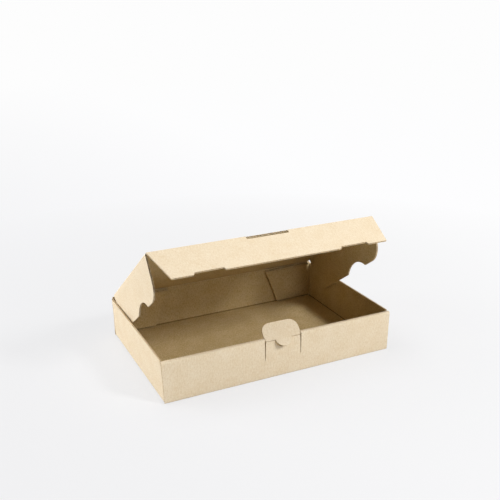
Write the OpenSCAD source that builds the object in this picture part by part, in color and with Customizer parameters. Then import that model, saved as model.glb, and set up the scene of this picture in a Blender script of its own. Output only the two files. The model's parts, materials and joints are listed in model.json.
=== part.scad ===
// Folding letter carton in fine corrugated board: a tray with a rolled-over
// front wall, and a tuck lid with side ears, a front lip and a locking tongue.
// Millimetres. +X is the width, -Y the front, +Z up.
// Origin: middle of the underside of the tray.

/* [Board] */
// Thickness of the corrugated board
board_t = 1.5; // [1.2:0.1:1.8]
// Inside radius of a folded crease
fold_r = 0.5; // [0.3:0.1:0.8]
// Gap at a crease between a panel and the panel it swings on
crease_gap = 0.3; // [0.2:0.05:0.45]
// Gap between layers of board that lie against each other
layer_gap = 0.2; // [0.15:0.05:0.4]

/* [Tray] */
// Width across the outside of the base
base_w = 238; // [200:1:300]
// Depth over the outside of the front and back walls
base_d = 160; // [130:1:220]
// Height of the side walls
side_h = 42; // [36:0.5:50]
// How much lower the rolled-over front wall is than the side walls
front_drop = 0.5; // [0:0.5:3]
// Height of the outside of the shut lid above the side walls
lid_rise = 3; // [2.5:0.5:6]
// Outward lean of the side walls from upright, in degrees
wall_lean = 2; // [0:0.5:4]

/* [Front wall locks] */
// Length of each tab under the inner front panel
tab_w = 27; // [15:1:35]
// Distance from the foot of a side wall to the middle of a tab
tab_inset = 45.7; // [35:0.1:48]
// How far a tab stands short of the underside of the base
tab_short = 0.4; // [0.2:0.1:0.8]
// Clearance round a tab in its slot
tab_gap = 0.4; // [0.2:0.05:0.6]
// Clearance between the rolled front panel and the fold of a corner flap beside it
roll_gap = 0.2; // [0.1:0.05:0.5]
// Length of the corner flaps held inside the front wall
front_flap_len = 55; // [40:1:75]

/* [Rear corner flaps] */
// Length of a rear corner flap from its crease, along its top edge
rear_flap_top = 59.5; // [40:0.5:75]
// Length of a rear corner flap from its crease, along its bottom edge
rear_flap_foot = 43; // [30:1:55]
// Height of the bottom edge of a rear corner flap above the table
rear_flap_lift = 3; // [2.5:0.5:6]
// Angle by which a rear corner flap stands off the back wall, in degrees
rear_flap_off = 2.5; // [0:0.5:10]

/* [Lid] */
// Angle between the lid as it stands and the shut lid, in degrees
lid_open = 35; // [20:1:90]
// Gap between the shut lid's front fold and the back of the front wall
lid_front_gap = 0.6; // [0.4:0.1:3]
// Gap between an ear and the side wall it slides behind
ear_gap = 0.5; // [0.3:0.1:1.5]

/* [Lip] */
// Gap between the base and the free edge of the lip when it is tucked in
lip_foot_gap = 2.5; // [1.5:0.5:12]
// Angle of the lip from flat with the lid, in degrees
lip_bend = 53; // [0:1:90]
// How far the lip stops short of the lid's sides at their fold
lip_inset = 0.8; // [0.5:0.1:3]
// How much the lip narrows at each end towards its free edge
lip_taper = 9; // [4:0.5:15]
// Room for the tongue at each end of its slot
slot_play = 3; // [1.5:0.5:6]
// Height of the slot for the tongue
slot_h = 4.8; // [4:0.2:8]
// Depth of the two notches in the lip's free edge
notch_d = 3; // [1:0.5:6]
// How much a notch widens at each end towards the free edge
notch_flare = 1.5; // [0:0.5:4]

/* [Ears] */
// Gap between the base and the lower edge of an ear when the lid is shut
ear_foot_gap = 2.5; // [1.5:0.5:8]
// Distance of an ear's thumb notch from its front edge at the crease
thumb_inset = 52.5; // [46:0.5:60]
// Length of the thumb notch along the ear's lower edge
thumb_w = 38; // [25:1:42]
// Depth of the thumb notch
thumb_d = 8; // [4:0.5:12]
// Radius of an ear's front lower corner
ear_corner_r = 17; // [10:0.5:20]
// How far an ear's front edge slopes back over its depth
ear_front_slope = 4; // [2:0.5:8]
// How far an ear's rear edge slopes forward over its depth
ear_rear_slope = 14; // [10:0.5:30]
// Distance from the lid's hinge to the rear end of an ear
ear_start = 5; // [4.5:0.5:12]

/* [Tongue] */
// Width of the locking tongue
tongue_w = 38; // [30:0.5:40]
// Length of the tongue above its crease
tongue_len = 16.5; // [14:0.5:22]
// Radius of the tongue's upper corners
tongue_r = 9; // [5:0.5:13]
// Depth of the small nick at each side of the tongue's neck
neck_d = 0.8; // [0.4:0.1:1.5]
// Angle by which the tongue leans back from upright, in degrees
tongue_lean = 45; // [20:1:70]
// Radius of the half-moon press tab below the tongue's crease
moon_r = 8.4; // [6:0.2:12]
// Length of the cuts in the front wall beside the tongue
slit_len = 20; // [12:1:25]
// Width of those cuts at the crease
slit_w = 1.2; // [0.8:0.1:2]
// Width of those cuts at their lower end
slit_end_w = 0.5; // [0.3:0.1:0.8]
// Gap round the tongue and the half-moon where they were cut out
cut_gap = 0.4; // [0.3:0.05:0.6]

/* [Hidden] */
$fn = 48;
kraft_out = "#e0c79f";
kraft_in = "#a58a5e";
crease_r = board_t / 2;
bend_r = fold_r + board_t;
front_h = side_h - front_drop;
shut_h = side_h + lid_rise;
shut_room = shut_h - board_t;
front_y = -base_d / 2;
back_y = base_d / 2;
lean_tan = tan(wall_lean);
lean_cos = cos(wall_lean);
wall_shift = board_t / lean_cos;

// Layers of the front wall, from its outer face inwards
front_flap_y = front_y + board_t + layer_gap;
inner_panel_y = front_flap_y + board_t + layer_gap;
front_t = 3 * board_t + 2 * layer_gap;
front_crease_z = front_h - bend_r;

// Half widths between the leaning side walls at a height
function outer_x(z) = base_w / 2 + z * lean_tan;
function inner_x(z) = outer_x(z) - wall_shift;
bend_x = outer_x(bend_r) - bend_r / lean_cos;
panel_side_gap = fold_r + roll_gap;

// Side walls run between the front fold and the rear crease
side_front_y = front_flap_y + bend_r;
rear_flap_y = back_y - board_t - layer_gap - board_t;
side_back_y = rear_flap_y - crease_gap;

// Creases that bend little past square: the hinge line is in the middle of the board
lid_axis_y = back_y - crease_r;
lid_axis_z = shut_h - crease_r;
lid_fold = lid_axis_y - (front_y + front_t + lid_front_gap + crease_r);
tongue_axis_y = front_y + crease_r;
tongue_axis_z = front_crease_z;

// Creases that fold a flap face to face: the hinge line is on the board's inner side
inner_axis = crease_gap / 2;
rear_axis_x = inner_x(0) - inner_axis / lean_cos;
rear_axis_y = rear_flap_y - inner_axis;
ear_axis_drop = crease_r + inner_axis;
ear_axis_x = inner_x(lid_axis_z - ear_axis_drop) - (inner_axis + board_t + ear_gap) / lean_cos;
lid_half_w = ear_axis_x - inner_axis;
lip_half_w = ear_axis_x + inner_axis + board_t - lip_inset;
lip_len = shut_room - lip_foot_gap;
slot_w = tongue_w + 2 * slot_play;
tab_at = base_w / 2 - tab_inset;
ear_front = lid_fold - crease_r - crease_gap - fold_r;
ear_depth = shut_room - ear_foot_gap;
thumb_at = ear_front - thumb_inset;

function ray(a, r) = [r * cos(a), r * sin(a)];

// Ring sector of board round a crease, from one angle to another
module bend(from, to, r = fold_r) {
  reach = 3 * (r + board_t);
  intersection() {
    difference() {
      circle(r = r + board_t);
      circle(r = r);
    }
    polygon([[0, 0], ray(from, reach), ray((from + to) / 2, reach), ray(to, reach)]);
  }
}

// Section of a flap's rounded outer edge, with its hinge line at the origin
module flap_edge() {
  translate([inner_axis, inner_axis]) intersection() {
    circle(r = board_t);
    square(board_t);
  }
}

// Turns a section drawn in Y and Z into a run of board along X
module along_x(w) {
  rotate([90, 0, 90]) linear_extrude(height = w, center = true) children();
}

// Turns an outline drawn in X and Z into board that reaches back from y
module upright(y, t = board_t) {
  translate([0, y + t, 0]) rotate([90, 0, 0]) linear_extrude(height = t) children();
}

// Outline between the side walls' faces, from one height to another
module between_walls(z0, z1, inset) {
  polygon([
    [-outer_x(z0) + inset, z0],
    [outer_x(z0) - inset, z0],
    [outer_x(z1) - inset, z1],
    [-outer_x(z1) + inset, z1]
  ]);
}

// Rounded head of the tongue with its two neck nicks; the crease is at v = 0
module tongue_outline(grow = 0) {
  half = tongue_w / 2 + grow;
  top = tongue_len + grow;
  r = tongue_r + grow;
  neck = 2 * neck_d;
  difference() {
    union() {
      translate([-half, 0]) square([2 * half, top - r]);
      translate([-half + r, 0]) square([2 * (half - r), top]);
      for (side = [-1, 1]) translate([side * (half - r), top - r]) circle(r = r);
    }
    translate([-half - r, -2 * r]) square([2 * (half + r), 2 * r]);
    for (side = [-1, 1]) translate([side * (tongue_w / 2 + neck - neck_d), neck]) circle(r = neck - grow);
  }
}

module half_moon(r) {
  intersection() {
    circle(r = r);
    translate([-r, -r]) square([2 * r, r]);
  }
}

module slit(side) {
  x = side * (tongue_w / 2 + cut_gap - slit_w / 2);
  polygon([
    [x - slit_w / 2, 0.1],
    [x + slit_w / 2, 0.1],
    [x + slit_end_w / 2, -slit_len],
    [x - slit_end_w / 2, -slit_len]
  ]);
}

// Outer front wall, cut for the tongue, its half-moon and the two slits
module front_wall() {
  difference() {
    union() {
      upright(front_y) between_walls(bend_r, front_crease_z, 0);
      along_x(base_w) translate([front_y + bend_r, bend_r]) bend(180, 270);
    }
    upright(front_y - 1, board_t + 2) translate([0, tongue_axis_z]) {
      half_moon(moon_r + cut_gap);
      translate([-tongue_w / 2 - cut_gap, -crease_r - crease_gap]) square([tongue_w + 2 * cut_gap, tongue_w]);
      for (side = [-1, 1]) slit(side);
    }
  }
}

// The roll over the top of the front wall and the panel that hangs inside it
module front_roll() {
  panel_foot = board_t + layer_gap;
  inset = wall_shift + panel_side_gap;
  half = outer_x(front_crease_z);
  window_top = front_crease_z + front_t;
  difference() {
    union() {
      along_x(2 * half) {
        translate([front_y + bend_r, front_crease_z]) bend(90, 180);
        translate([front_y + front_t - bend_r, front_crease_z]) bend(0, 90);
        translate([front_y + bend_r, front_h - board_t]) square([front_t - 2 * bend_r, board_t]);
      }
      upright(inner_panel_y) between_walls(panel_foot, front_crease_z, inset);
      upright(inner_panel_y) for (side = [-1, 1]) {
        translate([side * tab_at - tab_w / 2, tab_short]) square([tab_w, panel_foot]);
      }
    }
    // The tongue was cut from here, so its outline is left open, turned over the roll
    upright(front_y - 1, front_t + 2) translate([0, window_top]) mirror([0, 1, 0]) tongue_outline(cut_gap);
  }
}

module base() {
  plate_d = base_d - 2 * bend_r;
  difference() {
    translate([-bend_x, -plate_d / 2, 0]) cube([2 * bend_x, plate_d, board_t]);
    for (side = [-1, 1]) {
      translate([side * tab_at - tab_w / 2 - tab_gap, inner_panel_y - tab_gap, -1])
        cube([tab_w + 2 * tab_gap, board_t + 2 * tab_gap, board_t + 2]);
    }
  }
}

module back_wall() {
  wall_top = lid_axis_z - crease_r - crease_gap;
  upright(back_y - board_t) translate([-base_w / 2, bend_r]) square([base_w, wall_top - bend_r]);
  along_x(base_w) translate([back_y - bend_r, bend_r]) bend(270, 360);
}

// A side wall on its base crease, with the corner flap that the front wall traps.
// Both stop under the roll, which runs out over them to the corner.
module side_wall() {
  run = side_back_y - side_front_y;
  rise = (side_h - bend_r) / lean_cos;
  difference() {
    union() {
      translate([0, side_back_y, 0]) rotate([90, 0, 0]) linear_extrude(height = run) {
        translate([bend_x, bend_r]) {
          bend(270, 360 - wall_lean);
          translate([-bend_r, -bend_r]) square([bend_r, board_t]);
          rotate(-wall_lean) translate([fold_r, 0]) square([board_t, rise]);
        }
      }
      intersection() {
        translate([base_w / 2, front_flap_y, 0]) rotate([0, wall_lean, 0]) {
          linear_extrude(height = 2 * side_h) {
            translate([-bend_r, bend_r]) bend(270, 360);
            translate([-front_flap_len, 0]) square([front_flap_len - bend_r, board_t]);
          }
        }
        translate([0, front_y, bend_r]) cube([base_w, base_d, side_h - bend_r]);
      }
    }
    translate([0, front_y, front_crease_z - layer_gap]) cube([base_w, front_t + layer_gap, side_h]);
  }
}

module tray() {
  color(kraft_out) {
    base();
    front_wall();
    front_roll();
    back_wall();
    side_wall();
    mirror([1, 0, 0]) side_wall();
  }
}

// Right-hand rear corner flap, turned about its crease on the side wall
module rear_flap() {
  top_z = side_h;
  translate([rear_axis_x, rear_axis_y, 0]) rotate([0, wall_lean, 0]) rotate([0, 0, rear_flap_off]) {
    rotate([0, -wall_lean, 0]) upright(inner_axis) polygon([
      [rear_flap_lift * lean_tan, rear_flap_lift],
      [top_z * lean_tan, top_z],
      [top_z * lean_tan - rear_flap_top, top_z],
      [rear_flap_lift * lean_tan - rear_flap_foot, rear_flap_lift]
    ]);
    intersection() {
      linear_extrude(height = 2 * side_h) {
        flap_edge();
        translate([-board_t, inner_axis]) square([board_t + inner_axis, board_t]);
      }
      rotate([0, -wall_lean, 0])
        translate([-side_h, -side_h, rear_flap_lift]) cube([2 * side_h, 2 * side_h, top_z - rear_flap_lift]);
    }
  }
}

module rear_flap_right() {
  color(kraft_in) rear_flap();
}

module rear_flap_left() {
  color(kraft_in) mirror([1, 0, 0]) rear_flap();
}

// Frame of the lid: origin on its hinge line, -Y towards its front fold
module on_lid() {
  translate([0, lid_axis_y, lid_axis_z]) rotate([-lid_open, 0, 0]) children();
}

// Rounded edge of a panel along its hinge line
module hinge_root(w) {
  translate([-w / 2, 0, 0]) rotate([0, 90, 0]) cylinder(r = crease_r, h = w);
}

module lid() {
  w = 2 * lid_half_w;
  front = lid_fold - crease_r - crease_gap;
  color(kraft_in) on_lid() {
    translate([-lid_half_w, -front, -crease_r]) cube([w, front, board_t]);
    hinge_root(w);
  }
}

module lip_outline() {
  half = lip_half_w;
  edge = lip_len - crease_r;
  notch_half = tab_w / 2;
  difference() {
    polygon([[-half, 0], [half, 0], [half - lip_taper, -edge], [-half + lip_taper, -edge]]);
    for (side = [-1, 1]) translate([side * tab_at, -edge]) {
      polygon([
        [-notch_half, notch_d],
        [notch_half, notch_d],
        [notch_half + notch_flare, -0.1],
        [-notch_half - notch_flare, -0.1]
      ]);
    }
  }
}

module lip() {
  color(kraft_out) on_lid() translate([0, -lid_fold, 0]) rotate([lip_bend, 0, 0]) difference() {
    union() {
      translate([0, 0, -crease_r]) linear_extrude(height = board_t) lip_outline();
      hinge_root(2 * lip_half_w);
    }
    translate([-slot_w / 2, -slot_h + crease_r, -board_t]) cube([slot_w, slot_h + board_t, 2 * board_t]);
  }
}

// Ear outline: u runs from the lid's hinge to its front fold, v down from the crease
module ear_outline() {
  depth = ear_depth - board_t - inner_axis;
  slope = atan(ear_front_slope / depth);
  r = ear_corner_r;
  // Centre of the round corner, tangent to the sloped front edge and the lower edge
  corner_u = ear_front - (depth - r) * tan(slope) - r / cos(slope);
  thumb_r = (thumb_w * thumb_w / 4 + thumb_d * thumb_d) / (2 * thumb_d);
  difference() {
    union() {
      polygon([
        [ear_start, 0],
        [ear_front, 0],
        [corner_u + r * cos(slope), depth - r + r * sin(slope)],
        [corner_u, depth - r],
        [corner_u, depth],
        [ear_start + ear_rear_slope, depth]
      ]);
      translate([corner_u, depth - r]) circle(r = r);
    }
    translate([thumb_at, depth - thumb_d + thumb_r]) circle(r = thumb_r);
  }
}

// Right-hand ear on its crease along the lid's side, parallel to the side wall
module ear() {
  on_lid() translate([ear_axis_x, 0, -ear_axis_drop]) rotate([0, wall_lean, 0]) {
    translate([inner_axis, 0, 0]) rotate([0, 90, 0]) linear_extrude(height = board_t)
      rotate(-90) ear_outline();
    translate([0, -ear_start, 0]) rotate([90, 0, 0]) linear_extrude(height = ear_front - ear_start) {
      flap_edge();
      translate([inner_axis, -board_t]) square([board_t, board_t + inner_axis]);
    }
  }
}

module ear_right() {
  color(kraft_in) ear();
}

module ear_left() {
  color(kraft_out) mirror([1, 0, 0]) ear();
}

module tongue() {
  color(kraft_out) translate([0, tongue_axis_y, tongue_axis_z]) rotate([-tongue_lean, 0, 0]) {
    upright(-crease_r) {
      tongue_outline();
      half_moon(moon_r);
    }
    hinge_root(tongue_w - 2 * neck_d);
  }
}

tray();
rear_flap_left();
rear_flap_right();
lid();
lip();
ear_left();
ear_right();
tongue();
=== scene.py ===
# %% [markdown]
# A letter carton of fine corrugated kraft board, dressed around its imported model.
# The real one is a single sheet: two paper liners with a wavy paper between them,
# die-cut, creased and folded without glue. So each part here starts as a flat cut
# outline, gets its folds from a formula, and becomes three layers of paper.

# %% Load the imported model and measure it
import json
import math

import bpy
import numpy as np
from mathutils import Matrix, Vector, geometry


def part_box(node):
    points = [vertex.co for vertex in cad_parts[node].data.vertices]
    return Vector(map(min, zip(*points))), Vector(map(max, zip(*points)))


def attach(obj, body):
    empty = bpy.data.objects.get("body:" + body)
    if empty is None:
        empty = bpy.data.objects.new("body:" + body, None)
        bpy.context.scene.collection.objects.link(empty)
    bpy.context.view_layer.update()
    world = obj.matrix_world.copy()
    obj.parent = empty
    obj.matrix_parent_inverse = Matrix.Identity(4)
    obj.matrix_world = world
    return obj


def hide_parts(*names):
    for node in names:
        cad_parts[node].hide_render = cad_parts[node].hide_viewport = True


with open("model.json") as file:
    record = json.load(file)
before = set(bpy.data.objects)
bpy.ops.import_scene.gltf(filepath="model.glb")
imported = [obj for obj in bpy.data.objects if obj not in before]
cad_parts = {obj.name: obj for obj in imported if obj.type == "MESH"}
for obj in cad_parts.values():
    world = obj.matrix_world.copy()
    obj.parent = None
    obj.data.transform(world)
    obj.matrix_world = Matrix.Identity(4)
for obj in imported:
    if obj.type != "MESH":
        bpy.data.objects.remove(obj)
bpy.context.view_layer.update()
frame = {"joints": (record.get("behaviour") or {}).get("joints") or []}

joints = {joint["name"]: joint for joint in frame["joints"]}

# %% [markdown]
# Sizes of the board. Shapes are worked out in millimetres and turned to metres when
# they become meshes. E-flute board is about 1.5 mm thick, with a wave every 3.2 mm.
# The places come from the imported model: its boxes and its crease lines. SEAM lies between
# panels that fold on each other, PASSING between edges that pass, and RELIEF is what a flap
# is cut back beside its crease. A path starts with a SHORT_RUN or ends with a LONG_RUN where
# only its bend matters, and GRID is how far apart the lines are that divide a panel.

# %% Sizes
MM = 0.001
BOARD = 1.5
LINER = 0.24
MEDIUM = 0.18
WAVE = 3.2
FOLD_R = 0.5
MID_R = FOLD_R + BOARD / 2
BEND_R = FOLD_R + BOARD
LAYER_GAP = 0.2
LEAN = 2.0
BEAD = BOARD / 2
SEAM = 0.25
CREASE_SHADE_MARGIN = 0.5
PASSING = 0.15
RELIEF = 0.4
SHORT_RUN = 1e-3
LONG_RUN = 70.0
GRID = 12.0
# The last slot is the paper of the crease strips, painted darker as shade in the creases.
OUTER, INNER, WAVY, SHADED_SCORE = range(4)


def box_mm(node):
    """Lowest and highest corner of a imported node, in millimetres."""
    low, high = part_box(node)
    return np.array(low) / MM, np.array(high) / MM


def joint_mm(name):
    """A point on a joint's crease line, in millimetres."""
    return np.array(joints[name]["pos_m"]) / MM


tray_low, tray_high = box_mm("tray")
lid_axis = joint_mm("lid_hinge")
lip_axis = joint_mm("lip_fold")
ear_axis = joint_mm("ear_right_fold")
tongue_axis = joint_mm("tongue_fold")
rear_axis = joint_mm("rear_flap_right_fold")
print("lid crease", lid_axis, "tongue crease", tongue_axis)

SIDE_H = 42.0
LEAN_TAN = math.tan(math.radians(LEAN))
LEAN_COS = math.cos(math.radians(LEAN))
BASE_W = 2 * (tray_high[0] - SIDE_H * LEAN_TAN)
FRONT_Y = tray_low[1]
BACK_Y = tray_high[1]
FRONT_T = 3 * BOARD + 2 * LAYER_GAP
CREASE_Z = tongue_axis[2]
print("base width", round(BASE_W, 2), "front wall", round(FRONT_Y, 2))

# %% [markdown]
# A fold carries a flat point to its place. Seen from the end of the crease, folded
# board is a path of straights and arcs, so one function walks such a path and gives,
# for every distance along it, the place and the direction that points out of the board.


# %% Walk a folded path
def walk(s, start, heading, moves):
    """Place and outward direction at each distance s along a path of straights and arcs.
    A move is (length, turn in degrees): an arc of length L and turn T has radius L / T, and
    turns left about a centre that lies that far to the left, so outward is to the right."""
    place = np.zeros((len(s), 2))
    out = np.zeros((len(s), 2))
    at = np.array(start, float)
    angle = math.radians(heading)
    done = 0.0
    for k, (length, turn) in enumerate(moves):
        bend = math.radians(turn)
        after = s >= done if k else np.full(len(s), True)
        before = s < done + length if k < len(moves) - 1 else np.full(len(s), True)
        here = after & before
        t = s[here] - done
        a = angle + bend * t / length
        if turn:
            r = length / bend
            sine, cosine = math.sin(angle), math.cos(angle)
            place[here] = at + r * np.stack([np.sin(a) - sine, cosine - np.cos(a)], 1)
            at = at + r * np.array([math.sin(angle + bend) - sine, cosine - math.cos(angle + bend)])
        else:
            place[here] = at + t[:, None] * np.array([math.cos(angle), math.sin(angle)])
            at = at + length * np.array([math.cos(angle), math.sin(angle)])
        out[here] = np.stack([np.sin(a), -np.cos(a)], 1)
        angle += bend
        done += length
    return place, out


def arc_lines(start, length, count=8):
    """Distances along a path at which an arc that starts there is divided."""
    return list(np.linspace(start, start + length, count + 1))


# %% [markdown]
# The cutting die gives each part its outline. Straight runs are only their end points
# and round corners are arcs, both drawn on the flat sheet.


# %% Draw and divide cut outlines
SNAP = 1e-5
LEAST_AREA = 1e-7


def arc(cx, cy, r, a0, a1, count=12):
    """Points on a circle from one angle to another, in degrees."""
    a = np.radians(np.linspace(a0, a1, count + 1))
    return np.stack([cx + r * np.cos(a), cy + r * np.sin(a)], 1)


def mirrored(points):
    """The points followed by their mirror images in u, in reverse order, as one closed loop."""
    points = np.asarray(points, float)
    return np.vstack([points, points[::-1] * [-1, 1]])


def cut_at(loop, axis, levels):
    """The loop with a point added wherever an edge crosses one of the levels on that axis."""
    loop = np.asarray(loop, float)
    after = np.roll(loop, -1, 0)
    rows, spots = [np.arange(len(loop), dtype=float)], [loop]
    span = after[:, axis] - loop[:, axis]
    for level in levels:
        with np.errstate(divide="ignore", invalid="ignore"):
            t = (level - loop[:, axis]) / span
        hit = np.isfinite(t) & (t > 1e-6) & (t < 1 - 1e-6)
        rows.append(np.nonzero(hit)[0] + t[hit])
        spots.append(loop[hit] + t[hit, None] * (after[hit] - loop[hit]))
    order = np.argsort(np.concatenate(rows), kind="stable")
    return np.vstack(spots)[order]


def inside(points, loop):
    """Which points lie inside a closed loop, by counting the edges to their right."""
    odd = np.zeros(len(points), bool)
    for a, b in zip(loop, np.roll(loop, -1, 0)):
        if a[1] == b[1]:
            continue
        crosses = (points[:, 1] < a[1]) != (points[:, 1] < b[1])
        odd ^= crosses & (points[:, 0] < a[0] + (points[:, 1] - a[1]) * (b[0] - a[0]) / (b[1] - a[1]))
    return odd


def sheet(loops, lines_u, lines_v):
    """Flat triangles of a cut sheet: the first loop is its outline, the others are holes, and
    the lines across it are edges, so that it can bend there."""
    spots, edges = [], []
    for loop in loops:
        n = sum(len(s) for s in spots)
        k = np.arange(len(loop))
        edges.append(np.stack([k, (k + 1) % len(loop)], 1) + n)
        spots.append(loop)
    low, high = loops[0].min(0) - 1, loops[0].max(0) + 1
    for axis, lines in ((0, lines_u), (1, lines_v)):
        for line in lines:
            ends = np.stack([low, high])
            ends[:, axis] = line
            edges.append(np.array([[0, 1]]) + sum(len(s) for s in spots))
            spots.append(ends)
    flat = [Vector(p) for p in np.vstack(spots)]
    out = geometry.delaunay_2d_cdt(flat, np.vstack(edges).tolist(), [], 0, SNAP)
    uv = np.array([tuple(p) for p in out[0]])
    tri = np.array(out[2])
    a, b, c = uv[tri[:, 0]], uv[tri[:, 1]], uv[tri[:, 2]]
    area = (b[:, 0] - a[:, 0]) * (c[:, 1] - a[:, 1]) - (c[:, 0] - a[:, 0]) * (b[:, 1] - a[:, 1])
    tri[area < 0] = tri[area < 0][:, ::-1]
    middle = (a + b + c) / 3
    keep = inside(middle, loops[0]) & (np.abs(area) > LEAST_AREA)
    for hole in loops[1:]:
        keep &= ~inside(middle, hole)
    tri = tri[keep]
    used, tri = np.unique(tri, return_inverse=True)
    return uv[used], tri.reshape(-1, 3)


# %% [markdown]
# Paper has two faces and a cut edge. A flat triangle mesh becomes a closed layer of
# paper when it is folded twice, at its lower and its upper face, and its rim is joined.


# %% Turn a flat mesh into a closed layer of paper
def rim(tri):
    """Edges that only one triangle uses, in the direction in which it runs round them."""
    edges = np.vstack([tri[:, [0, 1]], tri[:, [1, 2]], tri[:, [2, 0]]])
    key = np.sort(edges, 1)
    _, index, count = np.unique(key, axis=0, return_index=True, return_counts=True)
    return edges[index[count == 1]]


def layer(uv, tri, low, high, fold, slot, edge_slot):
    """A closed layer of paper between two heights above the middle of the board. fold gives
    the place of (u, v, height). The slots are the materials of its faces, one for all or one
    for each triangle, and of its cut edge."""
    n = len(uv)
    low = np.broadcast_to(low, n)
    high = np.broadcast_to(high, n)
    verts = np.vstack([fold(uv[:, 0], uv[:, 1], high), fold(uv[:, 0], uv[:, 1], low)])
    edge = rim(tri)
    side = np.vstack([
        np.stack([edge[:, 1], edge[:, 0], edge[:, 0] + n], 1),
        np.stack([edge[:, 1], edge[:, 0] + n, edge[:, 1] + n], 1),
    ])
    faces = np.vstack([tri, tri[:, ::-1] + n, side])
    face_slots = np.broadcast_to(slot, len(tri))
    slots = np.concatenate([face_slots, face_slots, np.full(len(side), edge_slot)])
    return verts, faces, np.vstack([uv, uv]), slots


# %% [markdown]
# Between the liners runs the wavy paper. It only shows where the board is cut, so it is
# made as a band along every cut edge. Its height is a sine of the distance across the
# waves, which run from front to back on the flat sheet. In the rear corner flaps they are
# drawn upright instead, where those of the real sheet would run along the flap.


# %% The wavy paper along a cut edge
BAND = 2.4
WAVE_STEP = WAVE / 8
WAVE_H = BOARD / 2 - LINER - MEDIUM / 2
BAND_START = 0.02
SHARPEST = 0.8
SAME_POINT = 1e-6


def offset_loop(loop, inward):
    """The loop moved inward by a distance, along the bisector at each corner. SHARPEST keeps a
    sharp corner from moving too far."""
    along = np.roll(loop, -1, 0) - loop
    along /= np.linalg.norm(along, axis=1)[:, None]
    left = np.stack([-along[:, 1], along[:, 0]], 1)
    before = np.roll(left, 1, 0)
    total = left + before
    scale = 2 / np.maximum((total ** 2).sum(1), SHARPEST)
    return loop + inward * total * scale[:, None]


def area_of(loop):
    """Signed area of a loop; positive where it runs counter-clockwise."""
    after = np.roll(loop, -1, 0)
    return 0.5 * (loop[:, 0] * after[:, 1] - after[:, 0] * loop[:, 1]).sum()


def wave_band(loop, is_hole, fold):
    """Closed strips of wavy paper along each edge of a loop. Height = WAVE_H sin(2 pi u / WAVE).
    A strip that would leave the board beside a sharp corner is made narrower there."""
    loop = loop[np.linalg.norm(np.roll(loop, -1, 0) - loop, axis=1) > SAME_POINT]
    if area_of(loop) < 0:
        loop = loop[::-1]
    inner = offset_loop(loop, -BAND if is_hole else BAND)
    for _ in range(4):
        off_board = inside(inner, loop) == is_hole
        inner[off_board] = (inner[off_board] + loop[off_board]) / 2
    parts = []
    for a, b, c, d in zip(loop, np.roll(loop, -1, 0), np.roll(inner, -1, 0), inner):
        columns = max(1, math.ceil(abs(b[0] - a[0]) / WAVE_STEP))
        rows = max(1, math.ceil(abs(d[0] - a[0]) / WAVE_STEP))
        x, y = np.meshgrid(np.linspace(0, 1, columns + 1), np.linspace(BAND_START, 1, rows + 1))
        x, y = x.reshape(-1, 1), y.reshape(-1, 1)
        uv = (a * (1 - x) + b * x) * (1 - y) + (d * (1 - x) + c * x) * y
        k = (np.arange(rows)[:, None] * (columns + 1) + np.arange(columns)).reshape(-1)
        tri = np.vstack([
            np.stack([k, k + 1, k + columns + 2], 1),
            np.stack([k, k + columns + 2, k + columns + 1], 1),
        ])
        if is_hole:
            tri = tri[:, ::-1]
        h = WAVE_H * np.sin(2 * math.pi * uv[:, 0] / WAVE)
        parts.append(layer(uv, tri, h - MEDIUM / 2, h + MEDIUM / 2, fold, WAVY, WAVY))
    return parts


# %% [markdown]
# Board never lies dead flat. A slow dent of a tenth of a millimetre, made of a few sine
# waves, sinks every panel a little towards its inner side, never past its outer face.


# %% Put the layers together
SAG = 0.03


def sag(u, v):
    """How far the board sinks inward: a sum of slow waves, between 0 and 4 times SAG."""
    slow = np.sin(u / 23.0 + 0.7) * np.cos(v / 31.0 + 1.9)
    mixed = np.sin(u / 11.0 - v / 17.0 + 0.3)
    return SAG * (2 + 1.2 * slow + 0.8 * mixed)


def board(loops, lines_u, lines_v, fold, shaded_scores=()):
    """The three papers of a piece of board: outer liner, inner liner and the wavy bands. A
    score is (axis, from, to): a strip of the inner liner that the creasing rule grooved; its
    darker paper is painted shade for the shade in that groove."""
    lines = [list(lines_u), list(lines_v)]
    for axis, low, high in shaded_scores:
        lines[axis] += [low, high]
    for axis in (0, 1):
        loops = [cut_at(loop, axis, lines[axis]) for loop in loops]
    uv, tri = sheet(loops, *lines)
    middle = uv[tri].mean(1)
    inner_slots = np.full(len(tri), INNER)
    # Inner-liner triangles in a score strip take the crease paper: painted shade.
    for axis, low, high in shaded_scores:
        inner_slots[(middle[:, axis] > low) & (middle[:, axis] < high)] = SHADED_SCORE

    def sunk(u, v, h):
        return fold(u, v, h - sag(u, v))

    half = BOARD / 2
    parts = [
        layer(uv, tri, half - LINER, half, sunk, OUTER, OUTER),
        layer(uv, tri, -half, -half + LINER, sunk, inner_slots, OUTER),
    ]
    for number, loop in enumerate(loops):
        parts += wave_band(loop, number > 0, sunk)
    return parts


def bead(x0, x1, centre, frame_of, radius=BEAD, count=16):
    """The rounded edge of a panel on its crease: a closed rod of circles from x0 to x1."""
    a = np.linspace(0, 2 * math.pi, count, endpoint=False)
    ring = np.stack([np.cos(a), np.sin(a)], 1) * radius + centre
    ends = [np.column_stack([np.full(count, x), ring]) for x in (x0, x1)]
    caps = [[x, *centre] for x in (x0, x1)]
    local = np.vstack([*ends, caps])
    k = np.arange(count)
    j = (k + 1) % count
    faces = np.vstack([
        np.stack([k, j, j + count], 1),
        np.stack([k, j + count, k + count], 1),
        np.stack([j, k, np.full(count, 2 * count)], 1),
        np.stack([k + count, j + count, np.full(count, 2 * count + 1)], 1),
    ])
    if x1 < x0:
        faces = faces[:, ::-1]
    turn = np.concatenate([a, a, [0, 0]]) * radius
    uv = np.column_stack([local[:, 0], turn])
    return frame_of(local), faces, uv, np.zeros(len(faces), int)


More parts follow.
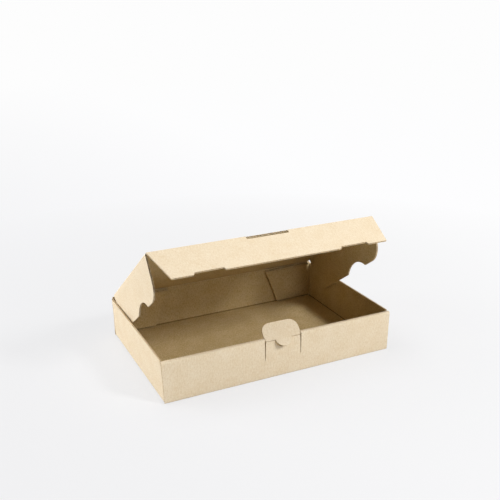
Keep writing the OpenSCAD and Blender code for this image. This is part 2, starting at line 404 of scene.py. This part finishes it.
def build(name, parts, materials, mirror=False):
    """One mesh object from a list of parts, in metres, with its flat-sheet UV map."""
    first = np.cumsum([0] + [len(part[0]) for part in parts[:-1]])
    verts = np.vstack([part[0] for part in parts]) * MM
    faces = np.vstack([part[1] + start for part, start in zip(parts, first)])
    uv = np.vstack([part[2] for part in parts]) * MM
    slots = np.concatenate([part[3] for part in parts])
    if mirror:
        verts = verts * [-1, 1, 1]
        faces = faces[:, ::-1]
    mesh = bpy.data.meshes.new(name)
    mesh.from_pydata(verts.tolist(), [], faces.tolist())
    for material in materials:
        mesh.materials.append(material)
    mesh.polygons.foreach_set("material_index", slots.astype(np.int32))
    layer_uv = mesh.uv_layers.new(name="sheet")
    layer_uv.data.foreach_set("uv", uv[faces.reshape(-1)].reshape(-1).astype(np.float32))
    mesh.shade_smooth()
    mesh.set_sharp_from_angle(angle=math.radians(32))
    piece = bpy.data.objects.new(name, mesh)
    bpy.context.scene.collection.objects.link(piece)
    print(name, len(verts), "points", len(faces), "triangles")
    return piece


# %% [markdown]
# Kraft liner is unbleached paper made on a wire: pale brown, matt, with long fibres that
# show as fine specks and short strokes, and slow clouds where the fibres bunched. Over
# corrugated board it also shows the waves beneath as faint stripes. A matt Principled
# shader with noise at three sizes gives the paper, and a sine along u gives the stripes.
# Real fibres are about 0.03 mm wide, too fine for the picture, so FIBRE is coarser. Along
# the creases the creasing rule grooved the inner liner: there the paper has no stripes, and its
# darker colour is painted shade for the shade in the groove.


# %% Paper
def srgb(hex_colour):
    """A hex colour as the linear values that a shader takes."""
    c = np.array([int(hex_colour[i:i + 2], 16) for i in (1, 3, 5)]) / 255
    linear = np.where(c <= 0.04045, c / 12.92, ((c + 0.055) / 1.055) ** 2.4)
    return (*linear, 1.0)


def add(tree, kind, links=(), **settings):
    """Adds a node, sets its properties and input values, and links its inputs to outputs."""
    made = tree.nodes.new(kind)
    for key, value in settings.items():
        if hasattr(made, key):
            setattr(made, key, value)
        else:
            made.inputs[key.replace("_", " ")].default_value = value
    for socket, source in dict(links).items():
        tree.links.new(source, made.inputs[socket])
    return made


def spread(tree, value, low, high, to_low=0.0, to_high=1.0):
    """Maps a value from the range between low and high to another range."""
    made = add(tree, "ShaderNodeMapRange", {"Value": value})
    made.inputs["From Min"].default_value = low
    made.inputs["From Max"].default_value = high
    made.inputs["To Min"].default_value = to_low
    made.inputs["To Max"].default_value = to_high
    return made.outputs[0]


FIBRE = 0.9 * MM
FLECK = 1.6 * MM
CLOUD = 14 * MM
MIX_A, MIX_B, MIX_OUT = 6, 7, 2


def blend_colour(tree, share, under, over):
    """Mixes a colour over another one. The one below may be an output or a plain colour."""
    made = add(tree, "ShaderNodeMix", {"Factor": share}, data_type="RGBA")
    if isinstance(under, tuple):
        made.inputs[MIX_A].default_value = under
    else:
        tree.links.new(under, made.inputs[MIX_A])
    made.inputs[MIX_B].default_value = over
    return made.outputs[MIX_OUT]


def paper(name, base, dark, light, stripe):
    """Matt kraft paper: clouds and fibres vary its colour, and waves and grain its relief."""
    material = bpy.data.materials.new(name)
    material.use_nodes = True
    tree = material.node_tree
    shader = tree.nodes["Principled BSDF"]
    shader.inputs["Roughness"].default_value = 0.86
    shader.inputs["IOR"].default_value = 1.47
    shader.inputs["Specular IOR Level"].default_value = 0.3
    sheet_uv = add(tree, "ShaderNodeUVMap", uv_map="sheet").outputs["UV"]
    along = add(tree, "ShaderNodeMapping", {"Vector": sheet_uv})
    along.inputs["Scale"].default_value = (1 / FIBRE, 0.25 / FIBRE, 1)
    fibre = add(tree, "ShaderNodeTexNoise", {"Vector": along.outputs[0]}, Scale=1.0, Detail=3.0)
    fleck = add(tree, "ShaderNodeTexNoise", {"Vector": sheet_uv}, Scale=1 / FLECK, Detail=5.0, Roughness=0.65)
    cloud = add(tree, "ShaderNodeTexNoise", {"Vector": sheet_uv}, Scale=1 / CLOUD, Detail=3.0)
    shade = spread(tree, cloud.outputs["Fac"], 0.3, 0.7, to_high=0.45)
    specks = spread(tree, fleck.outputs["Fac"], 0.45, 0.7, to_high=0.65)
    strokes = spread(tree, fibre.outputs["Fac"], 0.45, 0.7, to_high=0.6)
    clouded = blend_colour(tree, shade, srgb(base), srgb(light))
    specked = blend_colour(tree, specks, clouded, srgb(dark))
    fibrous = blend_colour(tree, strokes, specked, srgb(light))
    tree.links.new(fibrous, shader.inputs["Base Color"])
    wave = add(tree, "ShaderNodeTexWave", {"Vector": sheet_uv}, bands_direction="X", wave_profile="SIN")
    wave.inputs["Scale"].default_value = 2 * math.pi / (20 * WAVE * MM)
    wave.inputs["Distortion"].default_value = 0.6
    ridge = add(tree, "ShaderNodeBump", {"Height": wave.outputs["Fac"]}, Strength=stripe, Distance=0.12 * MM)
    grain = add(tree, "ShaderNodeBump", {"Height": fibre.outputs["Fac"], "Normal": ridge.outputs[0]})
    grain.inputs["Strength"].default_value = 0.5
    grain.inputs["Distance"].default_value = 0.06 * MM
    tree.links.new(grain.outputs[0], shader.inputs["Normal"])
    return material


outer_liner = paper("kraft_liner_outside", "#e5d1b1", "#d6bf98", "#f2e5ce", 0.2)
inner_liner = paper("kraft_liner_inside", "#c9b17f", "#9b7e50", "#e0cca2", 0.2)
fluting = paper("kraft_fluting_medium", "#dcc49c", "#c4a678", "#e8d5b3", 0.0)
# painted shade: the inner liner of the crease strips is painted this darker brown, for the shade in their
# grooves.
painted_crease_shade = paper("kraft_liner_pressed", "#8d7547", "#6d5630", "#a08858", 0.0)
papers = [outer_liner, inner_liner, fluting, painted_crease_shade]
print("papers:", [material.name for material in papers])

# %% [markdown]
# The tray's middle strip runs from the foot of the inner front panel, up and over the
# roll, down the outer front wall, under the base and up the back wall. It is one path,
# so the whole strip is one flat outline and one walk. The tongue's opening is cut where
# the strip turns over the roll, and two slots in the base take the panel's tabs.

# %% Middle strip of the tray
ARC = MID_R * math.pi / 2
ROLL_TOP = FRONT_T - 2 * BEND_R
PANEL_FOOT = BOARD + LAYER_GAP
TAB_FOOT = 0.4
strip_start = (FRONT_Y + FRONT_T - BOARD / 2, TAB_FOOT)
panel_run = CREASE_Z - TAB_FOOT
wall_run = CREASE_Z - BEND_R
base_run = BACK_Y - FRONT_Y - 2 * BEND_R
back_run = lid_axis[2] - BEAD - SEAM - BEND_R
strip_moves = [
    (panel_run, 0), (ARC, 90), (ROLL_TOP, 0), (ARC, 90), (wall_run, 0),
    (ARC, 90), (base_run, 0), (ARC, 90), (back_run, 0),
]
strip_ends = np.cumsum([0] + [length for length, _ in strip_moves])
V_TONGUE = strip_ends[4]
V_BASE = strip_ends[6]
V_TOP = strip_ends[9]


def outer_x(z):
    """Half width between the outer faces of the leaning side walls at a height."""
    return BASE_W / 2 + z * LEAN_TAN


def fold_strip(u, v, h):
    """Main strip: across the box stays x, along the strip is the walked path in y and z."""
    place, out = walk(v, strip_start, 90, strip_moves)
    return np.column_stack([u, place + h[:, None] * out])


TAB_W = 27.0
TAB_AT = 73.3
TAB_GAP = 0.4
PANEL_INSET = BOARD / LEAN_COS + FOLD_R + LAYER_GAP
panel_half = outer_x(CREASE_Z) - PANEL_INSET
V_FOOT = PANEL_FOOT - TAB_FOOT
V_CORNER = strip_ends[5]
strip_right = [
    (TAB_AT - TAB_W / 2, V_FOOT),
    (TAB_AT - TAB_W / 2, 0),
    (TAB_AT + TAB_W / 2, 0),
    (TAB_AT + TAB_W / 2, V_FOOT),
    (outer_x(PANEL_FOOT) - PANEL_INSET, V_FOOT),
    (panel_half, strip_ends[1]),
    (outer_x(CREASE_Z), strip_ends[1]),
    (outer_x(CREASE_Z), V_TONGUE),
    (outer_x(BEND_R), V_CORNER),
    (BASE_W / 2, strip_ends[6]),
    (BASE_W / 2 - BEND_R, strip_ends[6] + FOLD_R),
    (BASE_W / 2 - BEND_R, strip_ends[7] - FOLD_R),
    (BASE_W / 2, strip_ends[7]),
    (BASE_W / 2, V_TOP),
]
strip_outline = mirrored(strip_right)

TONGUE_W = 38.0
TONGUE_LEN = 16.5
TONGUE_R = 9.0
NECK = 0.8
MOON_R = 8.4
CUT = 0.4
SLIT_LEN = 20.0
SLIT_W = 1.2
SLIT_END = 0.5


def tongue_side(grow, foot):
    """Right half of the tongue's outline above its crease: foot, neck nick, side and round corner."""
    half = TONGUE_W / 2 + grow
    nick_r = 2 * NECK - grow
    reach = math.degrees(math.acos((TONGUE_W / 2 + NECK - half) / nick_r))
    nick = arc(TONGUE_W / 2 + NECK, 2 * NECK, nick_r, 180 + reach, 180 - reach, 8)
    r = TONGUE_R + grow
    corner = arc(half - r, TONGUE_LEN + grow - r, r, 0, 90, 12)
    return np.vstack([[(half, foot)], nick, corner])


slit_mid = TONGUE_W / 2 + CUT - SLIT_W / 2
moon_gap = MOON_R + CUT
opening_side = np.vstack([
    arc(0, 0, moon_gap, -90, -math.degrees(math.asin((BEAD + SEAM) / moon_gap)), 12),
    [
        (slit_mid - SLIT_W / 2, -BEAD - SEAM),
        (slit_mid - SLIT_END / 2, -SLIT_LEN),
        (slit_mid + SLIT_END / 2, -SLIT_LEN),
    ],
    tongue_side(CUT, 0.0),
])
opening = mirrored(opening_side) * [1, -1] + [0, V_TONGUE]

slots = []
slot_y = FRONT_Y + FRONT_T - BOARD - TAB_GAP
for side in (-1, 1):
    x0, x1 = side * TAB_AT - TAB_W / 2 - TAB_GAP, side * TAB_AT + TAB_W / 2 + TAB_GAP
    v0 = V_BASE + slot_y - (FRONT_Y + BEND_R)
    v1 = v0 + BOARD + 2 * TAB_GAP
    slots.append(np.array([(x0, v0), (x1, v0), (x1, v1), (x0, v1)]))

WALL_GRID = 10
strip_lines = [line for k in (1, 3, 5, 7) for line in arc_lines(strip_ends[k], ARC)]
strip_lines += list(np.arange(8, panel_run, WALL_GRID))
strip_lines += list(np.arange(V_TONGUE + WALL_GRID, strip_ends[5], WALL_GRID))
strip_lines += list(np.arange(V_BASE + GRID, strip_ends[7], GRID))
strip_lines += list(np.arange(strip_ends[8] + WALL_GRID, V_TOP - 4, WALL_GRID))
across = np.arange(-9 * GRID, 9.1 * GRID, GRID)
# The inner faces of the base's front and back creases get the painted shade.
base_shaded_scores = [(1, strip_ends[k] - CREASE_SHADE_MARGIN, strip_ends[k + 1] + CREASE_SHADE_MARGIN) for k in (5, 7)]
tray_parts = board([strip_outline, opening, *slots], across, strip_lines, fold_strip, base_shaded_scores)
print("strip length", round(V_TOP, 1), "mm in", len(tray_parts), "layers and bands")

# %% [markdown]
# Each side wall folds up from the base, and its front end folds again into the corner
# flap that the rolled front wall traps. The first fold is a walk in x and z. The second
# is a walk in the plane of the wall's normal and the front direction.

# %% Side walls with their trapped corner flaps
LEAN_ARC = MID_R * math.radians(90 - LEAN)
wall_x = outer_x(BEND_R) - BEND_R / LEAN_COS
wall_rise = (SIDE_H - BEND_R) / LEAN_COS
side_moves = [(LEAN_ARC, 90 - LEAN), (wall_rise, 0)]
flap_front = FRONT_Y + BOARD + LAYER_GAP + BEND_R
FLAP_RUN = 53.0
flap_moves = [(SHORT_RUN, 0), (ARC, 90), (FLAP_RUN, 0)]


def fold_side(u, v, h):
    """Side wall: u runs out over the base crease and up the wall, v is y. Past its front end
    the board turns about the wall's own height direction, inwards."""
    place, out = walk(u - wall_x, (wall_x, BOARD / 2), 0, side_moves)
    past = np.maximum(flap_front - v, 0)
    turn, face = walk(past, (0, 0), 0, flap_moves)
    y = np.where(v < flap_front, flap_front - turn[:, 0] - h * face[:, 0], v)
    shift = np.where(v < flap_front, -turn[:, 1] - h * face[:, 1], h)
    return np.column_stack([place[:, 0] + shift * out[:, 0], y, place[:, 1] + shift * out[:, 1]])


def wall_u(z):
    """Distance u on the flat sheet of a height on the side wall."""
    return wall_x + LEAN_ARC + (z - BEND_R) / LEAN_COS


ROLL_UNDER = CREASE_Z - LAYER_GAP
ROLL_BACK = FRONT_Y + FRONT_T + LAYER_GAP
rear_wall = rear_axis[1] - PASSING
side_outline = np.array([
    (wall_x, flap_front),
    (wall_u(BEND_R), flap_front),
    (wall_u(BEND_R + LAYER_GAP), flap_front - ARC - FLAP_RUN),
    (wall_u(ROLL_UNDER), flap_front - ARC - FLAP_RUN),
    (wall_u(ROLL_UNDER), ROLL_BACK),
    (wall_u(SIDE_H), ROLL_BACK),
    (wall_u(SIDE_H), rear_wall),
    (wall_x, rear_wall),
])
side_lines_u = arc_lines(wall_x, LEAN_ARC) + [wall_u(z) for z in (12.0, 22.0, 32.0)]
side_lines_v = arc_lines(flap_front - ARC, ARC) + list(np.arange(flap_front + GRID, rear_wall - 4, GRID))
SHADED_SCORE_START = 0.01
# The inner face of the wall's foot crease gets the painted shade.
wall_shaded_score = (0, wall_x + SHADED_SCORE_START, wall_x + LEAN_ARC + CREASE_SHADE_MARGIN)
side_parts = board([side_outline[::-1]], side_lines_u, side_lines_v, fold_side, [wall_shaded_score])


def mirror_parts(parts):
    """The same parts on the other side of the box, with their faces turned to point out."""
    return [(verts * [-1, 1, 1], faces[:, ::-1], uv * [-1, 1], slots) for verts, faces, uv, slots in parts]


tray = build("tray_board", tray_parts + side_parts + mirror_parts(side_parts), papers)
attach(tray, "tray")
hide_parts("tray")

# %% [markdown]
# The lid and its flaps are flat panels in the lid's own frame, which lies on its crease
# line and rises to the front. A panel on a plain crease ends in a rounded bead, and a
# panel that folds face to face ends in a quarter turn about its crease.

# %% Lid and its frame
LID_OPEN = math.degrees(math.atan2(lip_axis[2] - lid_axis[2], lid_axis[1] - lip_axis[1]))
lid_cos, lid_sin = math.cos(math.radians(LID_OPEN)), math.sin(math.radians(LID_OPEN))
LID_FOLD = float(np.hypot(lip_axis[1] - lid_axis[1], lip_axis[2] - lid_axis[2]))
print("lid open", round(LID_OPEN, 1), "degrees,", round(LID_FOLD, 1), "mm to the lip's crease")


def on_lid(local):
    """Points of the lid's frame in the box's frame: x stays, y and z turn about the hinge."""
    x, y, z = local.T
    turned_y, turned_z = y * lid_cos + z * lid_sin, -y * lid_sin + z * lid_cos
    return np.column_stack([x, lid_axis[1] + turned_y, lid_axis[2] + turned_z])


def fold_lid(u, v, h):
    """Lid panel: v runs from the crease to the front, and height is up."""
    return on_lid(np.column_stack([u, -v, h]))


EAR_SEAM = 0.2
lid_half = ear_axis[0] - EAR_SEAM
lid_end = LID_FOLD - BEAD - SEAM
lid_outline = np.array([(-lid_half, 0), (lid_half, 0), (lid_half, lid_end), (-lid_half, lid_end)])


def facing_up(u, v, h):
    """Lid panel on a sheet seen from above: v is zero at the crease and falls to the front."""
    return fold_lid(u, -v, h)


lid_parts = board([lid_outline * [1, -1]], across, list(np.arange(-12 * GRID, -11, GRID)), facing_up)
lid_parts.append(bead(-lid_half, lid_half, (0, 0), on_lid))
lid = build("lid_board", lid_parts, papers)
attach(lid, "lid")
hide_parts("lid")

# %% [markdown]
# The lip hangs from the lid's front crease, bent down from the lid's plane. Its slot for
# the tongue starts at the crease, so the crease bead stops on both sides of it, and its
# free edge has two shallow notches over the tabs.

# %% Lip
LIP_BEND = 53.0
lip_cos, lip_sin = math.cos(math.radians(LIP_BEND)), math.sin(math.radians(LIP_BEND))
LIP_LEN = 41.0
LIP_TAPER = 9.0
SLOT_W = 44.0
SLOT_H = 4.8
NOTCH_D = 3.0
NOTCH_FLARE = 1.5


def on_lip(local):
    """Points of the lip's frame: turned down about the lid's front crease."""
    x, y, z = local.T
    return on_lid(np.column_stack([x, -LID_FOLD + y * lip_cos - z * lip_sin, y * lip_sin + z * lip_cos]))


def fold_lip(u, v, h):
    """Lip panel: v runs back from its free edge, negative below the crease."""
    return on_lip(np.column_stack([u, v, h]))


lip_half = box_mm("lip")[1][0]
lip_edge = LIP_LEN - BEAD
slot_half = SLOT_W / 2
slot_edge = SLOT_H - BEAD
notch = TAB_W / 2
lip_right = [
    (TAB_AT - notch - NOTCH_FLARE, -lip_edge),
    (TAB_AT - notch, -lip_edge + NOTCH_D),
    (TAB_AT + notch, -lip_edge + NOTCH_D),
    (TAB_AT + notch + NOTCH_FLARE, -lip_edge),
    (lip_half - LIP_TAPER, -lip_edge),
    (lip_half, 0),
    (slot_half, 0),
    (slot_half, -slot_edge),
]
lip_lines = list(np.arange(-36, -3, 8.0))
lip_parts = board([mirrored(lip_right)], across, lip_lines, fold_lip)
lip_parts += [bead(slot_half, lip_half, (0, 0), on_lip), bead(-lip_half, -slot_half, (0, 0), on_lip)]
lip = build("lip_board", lip_parts, papers)
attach(lip, "lip")
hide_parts("lip")

# %% [markdown]
# The ears fold down from the lid's sides. Each has a sloped front edge, a large round
# corner, a thumb notch and a rear edge cut back so that it clears the hinge corner.

# %% Ears
EAR_R = 0.9
EAR_EDGE_GAP = 0.3
EAR_DEPTH = 41.0 - BOARD - PASSING
EAR_START = 5.0
EAR_FRONT = LID_FOLD - BEAD - EAR_EDGE_GAP - FOLD_R
FRONT_SLOPE = 4.0
REAR_SLOPE = 14.0
CORNER_R = 17.0
THUMB_AT = EAR_FRONT - 52.5
THUMB_W = 38.0
THUMB_D = 8.0
ear_turn = EAR_R * math.pi / 2
slope = math.atan(FRONT_SLOPE / EAR_DEPTH)
corner_u = EAR_FRONT - (EAR_DEPTH - CORNER_R) * math.tan(slope) - CORNER_R / math.cos(slope)
thumb_r = (THUMB_W ** 2 / 4 + THUMB_D ** 2) / (2 * THUMB_D)
thumb_reach = math.degrees(math.asin(THUMB_W / 2 / thumb_r))
ear_flat = np.vstack([
    [(EAR_START + RELIEF, -ear_turn), (EAR_START, 0), (EAR_START + REAR_SLOPE, EAR_DEPTH)],
    arc(THUMB_AT, EAR_DEPTH - THUMB_D + thumb_r, thumb_r, 270 - thumb_reach, 270 + thumb_reach, 20),
    arc(corner_u, EAR_DEPTH - CORNER_R, CORNER_R, 90, math.degrees(slope), 16),
    [(EAR_FRONT, 0), (EAR_FRONT - RELIEF, -ear_turn)],
])


def fold_ear(u, v, h):
    """Right ear on the flat sheet: u is the distance out over the crease and down the ear, v
    the distance from the hinge. A quarter turn about the crease line, then straight down."""
    place, out = walk(u + ear_turn, (0, EAR_R), 0, [(SHORT_RUN, 0), (ear_turn, -90), (LONG_RUN, 0)])
    x, z = (place - h[:, None] * out).T
    lean_x, lean_z = (x + z * LEAN_TAN) * LEAN_COS, (z - x * LEAN_TAN) * LEAN_COS
    return on_lid(np.column_stack([ear_axis[0] + lean_x, -v, lean_z - BEAD - PASSING]))


ear_lines = arc_lines(-ear_turn, ear_turn, 6) + [8.0, 16.0, 24.0, 32.0]
ear_parts = board([ear_flat[:, ::-1]], ear_lines, list(np.arange(GRID, 150, GRID)), fold_ear)
ear_parts = [(verts, faces[:, ::-1], uv, slots) for verts, faces, uv, slots in ear_parts]
for side, mirror in (("right", False), ("left", True)):
    ear = build("ear_" + side + "_board", ear_parts, papers, mirror)
    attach(ear, "ear_" + side)
    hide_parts("ear_" + side)

# %% [markdown]
# The rear corner flaps fold in from the back ends of the side walls and stand a little
# off the back wall. Their free edge is cut at a slant.

# %% Rear corner flaps
FLAP_TOP_LEN = 59.5
FLAP_FOOT_LEN = 43.0
FLAP_LIFT = 3.0
FLAP_OFF = math.radians(2.5)
FLAP_DROP = 0.1
flap_top = SIDE_H - FLAP_DROP
flap_outline = np.array([
    (-ear_turn, FLAP_LIFT),
    (FLAP_FOOT_LEN, FLAP_LIFT),
    (FLAP_TOP_LEN, flap_top),
    (-ear_turn, flap_top),
])


def fold_flap(u, v, h):
    """Right rear flap: u runs round the crease and along the back wall, v is the height."""
    place, out = walk(u + ear_turn, (EAR_R, 0), 90, [(SHORT_RUN, 0), (ear_turn, 90), (LONG_RUN, 0)])
    x, y = (place + h[:, None] * out).T
    c, s = math.cos(FLAP_OFF), math.sin(FLAP_OFF)
    x, y = x * c - y * s, x * s + y * c
    return np.column_stack([rear_axis[0] + x + v * LEAN_TAN, rear_axis[1] + y, v])


flap_lines = arc_lines(-ear_turn, ear_turn, 6) + [12.0, 24.0, 36.0]
flap_parts = board([flap_outline], flap_lines, [14.0, 26.0], fold_flap)
flap_parts = [(verts, faces[:, ::-1], uv, slots) for verts, faces, uv, slots in flap_parts]
for side, mirror in (("right", False), ("left", True)):
    flap = build("rear_flap_" + side + "_board", flap_parts, papers, mirror)
    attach(flap, "rear_flap_" + side)
    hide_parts("rear_flap_" + side)

# %% [markdown]
# The tongue was cut from the roll, so it stands up where the front wall turns over. Its
# half-moon hangs below the crease and tips out as the tongue leans in.

# %% Tongue
TONGUE_LEAN = math.radians(45)


def on_tongue(local):
    """Points of the tongue's frame: upright on its crease, then leaned back over the tray."""
    x, y, z = local.T
    c, s = math.cos(TONGUE_LEAN), math.sin(TONGUE_LEAN)
    return np.column_stack([x, tongue_axis[1] + y * c + z * s, tongue_axis[2] - y * s + z * c])


def fold_tongue(u, v, h):
    """Tongue: v runs up from the crease, and the outer face looks to the front."""
    return on_tongue(np.column_stack([u, -h, v]))


tongue_half = TONGUE_W / 2 - NECK
tongue_right = np.vstack([
    arc(0, 0, MOON_R, -90, 0, 12),
    [(tongue_half, 0)],
    tongue_side(0.0, 0.0)[1:],
])
tongue_parts = board([mirrored(tongue_right)], [-9.0, 9.0], [0.0, 5.0, 10.0], fold_tongue)
tongue_parts += [bead(-tongue_half, tongue_half, (0, 0), on_tongue)]
tongue = build("tongue_board", tongue_parts, papers)
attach(tongue, "tongue")
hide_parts("tongue")

# %% [markdown]
# The floor is white card. Light Path lets the camera see most of it as a pale tone of its own,
# so the lamps can stay at a level where the board keeps its colour. That tone is painted a little
# brighter to the right, where the key lamp stands: painted light. The rest is the card's real
# shading, which keeps the shadow of the box; it fades out away from the box, so that no horizon shows.

# %% Floor
FLOOR = 9.0
AMBIENT = 0.03
AIR_TONE = "#fdfdfd"


def seen_directly(tree):
    """One where a ray comes from the camera or from glossy or clear surfaces, else zero."""
    path = add(tree, "ShaderNodeLightPath").outputs
    seen_ray = path["Is Camera Ray"]
    for other in ("Is Glossy Ray", "Is Transmission Ray"):
        either = add(tree, "ShaderNodeMath", {0: seen_ray, 1: path[other]}, operation="MAXIMUM")
        seen_ray = either.outputs[0]
    return seen_ray


floor_mesh = bpy.data.meshes.new("studio_floor")
corners = [(-FLOOR, -FLOOR, 0), (FLOOR, -FLOOR, 0), (FLOOR, FLOOR, 0), (-FLOOR, FLOOR, 0)]
floor_mesh.from_pydata(corners, [], [(0, 1, 2, 3)])
floor = bpy.data.objects.new("studio_floor", floor_mesh)
bpy.context.scene.collection.objects.link(floor)
card = bpy.data.materials.new("matt_white_card")
card.use_nodes = True
tree = card.node_tree
diffuse = tree.nodes["Principled BSDF"]
diffuse.inputs["Base Color"].default_value = srgb("#e0e0e0")
diffuse.inputs["Roughness"].default_value = 0.9
diffuse.inputs["Specular IOR Level"].default_value = 0.0
spot = add(tree, "ShaderNodeTexCoord").outputs["Object"]
axes = add(tree, "ShaderNodeSeparateXYZ", {"Vector": spot})
# painted light: the camera-seen tone grows brighter towards the right, the side of the key lamp.
painted_light_to_right = spread(tree, axes.outputs["X"], -0.45, 0.4)
painted_lit_tone = blend_colour(tree, painted_light_to_right, srgb("#f1f1f3"), srgb("#fdfdfe"))
far = add(tree, "ShaderNodeVectorMath", {0: spot}, operation="LENGTH").outputs["Value"]
into_air = blend_colour(tree, spread(tree, far, 0.6, 2.5), painted_lit_tone, srgb(AIR_TONE))
glow = add(tree, "ShaderNodeEmission", {"Color": into_air})
glow.inputs["Strength"].default_value = 1.0
fade = spread(tree, far, 0.15, 0.6, to_low=0.72)
share = add(tree, "ShaderNodeMath", {0: fade, 1: seen_directly(tree)}, operation="MULTIPLY")
blend = add(tree, "ShaderNodeMixShader", {0: share.outputs[0], 1: diffuse.outputs[0], 2: glow.outputs[0]})
tree.links.new(blend.outputs[0], tree.nodes["Material Output"].inputs["Surface"])
floor_mesh.materials.append(card)

# %% [markdown]
# Four lamps look at the box. The top one is overhead, for the lid and the floor. The key
# is high on the right and in front: it shines on the lip and through the open front into
# the tray, and leaves the inside of the right wall in shade. A weak low lamp in front
# lifts the front wall and the tongue. A wide low one behind on the left lights the left
# wall and the left ear, which keep it out of the tray. A dim even world softens the rest.


# %% Lamps and world
def softbox(name, place, aim, width, height, watts):
    """A large rectangular area lamp that looks at a point."""
    lamp = bpy.data.lights.new(name, "AREA")
    lamp.shape = "RECTANGLE"
    lamp.size = width
    lamp.size_y = height
    lamp.energy = watts
    lamp_object = bpy.data.objects.new(name, lamp)
    lamp_object.location = place
    lamp_object.rotation_euler = (Vector(aim) - Vector(place)).to_track_quat("-Z", "Y").to_euler()
    bpy.context.scene.collection.objects.link(lamp_object)


CENTRE = (0.0, 0.0, 0.05)
softbox("softbox_top", (-0.15, 0.1, 1.35), CENTRE, 0.7, 0.6, 9.8)
softbox("softbox_key", (0.66, -0.97, 0.86), CENTRE, 0.25, 0.3, 13)
softbox("softbox_front", (0.35, -1.25, 0.45), CENTRE, 0.4, 0.3, 1.8)
softbox("softbox_left", (-1.2, 0.75, 0.3), CENTRE, 0.8, 0.5, 16)

world = bpy.data.worlds.new("studio_air")
bpy.context.scene.world = world
world.use_nodes = True
air = world.node_tree
background = air.nodes["Background"]
background.inputs["Color"].default_value = srgb(AIR_TONE)
seen = seen_directly(air)
strength = spread(air, seen, 0.0, 1.0, to_low=AMBIENT)
air.links.new(strength, background.inputs["Strength"])
print("lamps:", [lamp.name for lamp in bpy.data.lights])

# %% [markdown]
# The camera stands where the photo was taken from, to the left of the box and a little
# above it, with the lens of that photo.

# %% Camera
AZIMUTH = math.radians(-25.31)
ELEVATION = math.radians(19.44)
ROLL = math.radians(-0.72)
DISTANCE = 0.99125
TARGET = Vector((0.10223, 0.20694, 0.020))
PHOTO_PX = 500
FOCAL_PX = 746.15
back = Vector((
    math.sin(AZIMUTH) * math.cos(ELEVATION),
    -math.cos(AZIMUTH) * math.cos(ELEVATION),
    math.sin(ELEVATION),
))
lens = bpy.data.cameras.new("photo_camera")
lens.sensor_width = 36
lens.lens = FOCAL_PX / PHOTO_PX * lens.sensor_width
lens.clip_start = 0.05
camera = bpy.data.objects.new("photo_camera", lens)
camera.location = TARGET + back * DISTANCE
camera.rotation_euler = back.to_track_quat("Z", "Y").to_euler()
camera.rotation_euler.rotate_axis("Z", ROLL)
bpy.context.scene.collection.objects.link(camera)
bpy.context.scene.camera = camera
bpy.context.scene.view_settings.view_transform = "Standard"
print("camera at", [round(value, 3) for value in camera.location])
